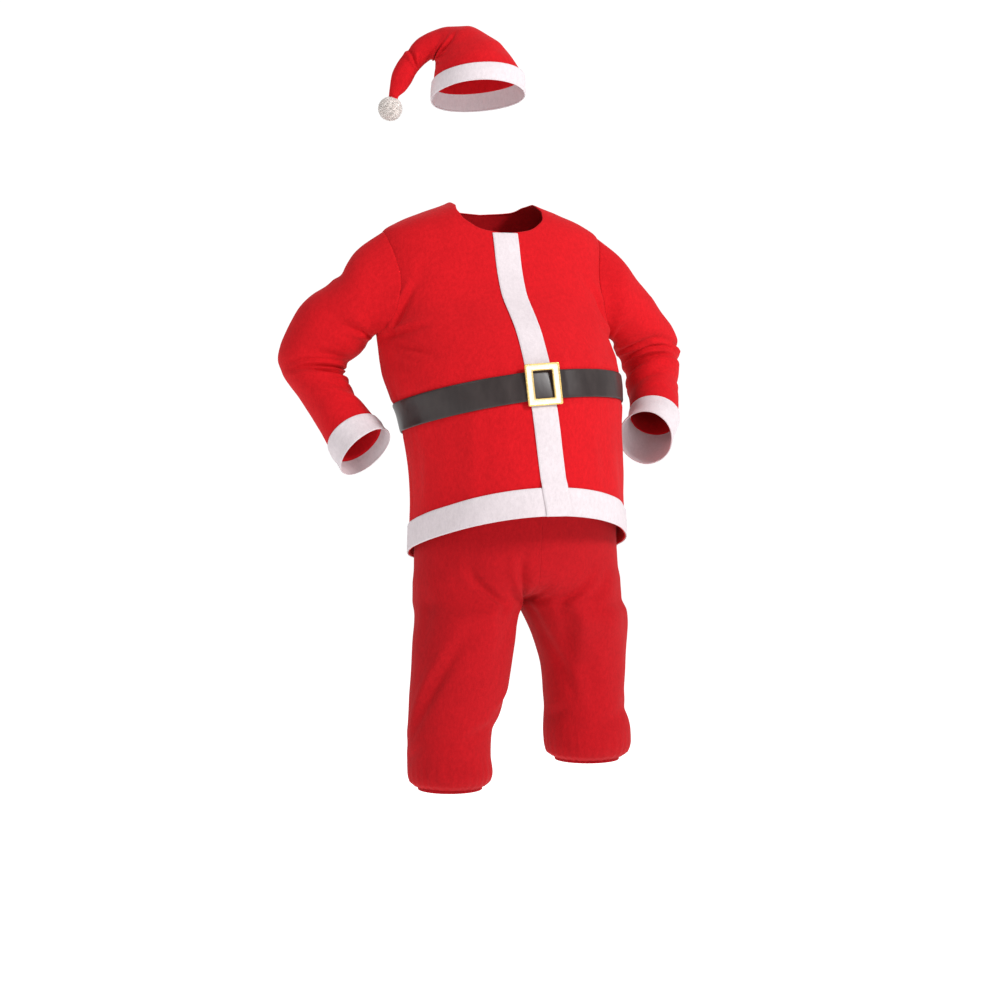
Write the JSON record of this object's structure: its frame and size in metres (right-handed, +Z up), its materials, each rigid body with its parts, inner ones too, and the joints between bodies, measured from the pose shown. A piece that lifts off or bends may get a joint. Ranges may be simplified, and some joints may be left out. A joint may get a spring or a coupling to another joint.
{
  "type": "santa suit",
  "caption": "Red felt santa suit with white trim, black belt, gathered trousers and pompom hat, worn and hollow.",
  "frame": {"origin": "middle of the neck opening, level with the tops of the shoulders, where the wearer holds the suit up", "axes": "+Z up, -Y the way the front of the jacket faces, -X the wearer's right"},
  "size_m": [0.8098, 0.3943, 1.4535],
  "materials": {
    "red_felt": "matte felt nap",
    "white_felt": "matte fleece nap",
    "white_fluff": "fluffy yarn",
    "black_vinyl": "satin vinyl",
    "pale_gold": "pale gold"
  },
  "bodies": {
    "root": {"jacket_front_right": "red_felt", "jacket_front_left": "red_felt", "jacket_back": "red_felt", "sleeve_right": "red_felt", "sleeve_left": "red_felt", "cuff_right": "white_felt", "cuff_left": "white_felt", "placket": "white_felt", "hem_band": "white_felt", "belt_strap": "black_vinyl", "belt_buckle": "pale_gold", "trouser_front_right": "red_felt", "trouser_front_left": "red_felt", "trouser_back_right": "red_felt", "trouser_back_left": "red_felt", "trouser_waistband": "red_felt", "leg_end_right": "red_felt", "leg_end_left": "red_felt", "hat_crown_front": "red_felt", "hat_crown_back": "red_felt", "hat_band": "white_felt", "hat_pompom": "white_fluff"}
  },
  "joints": []
}
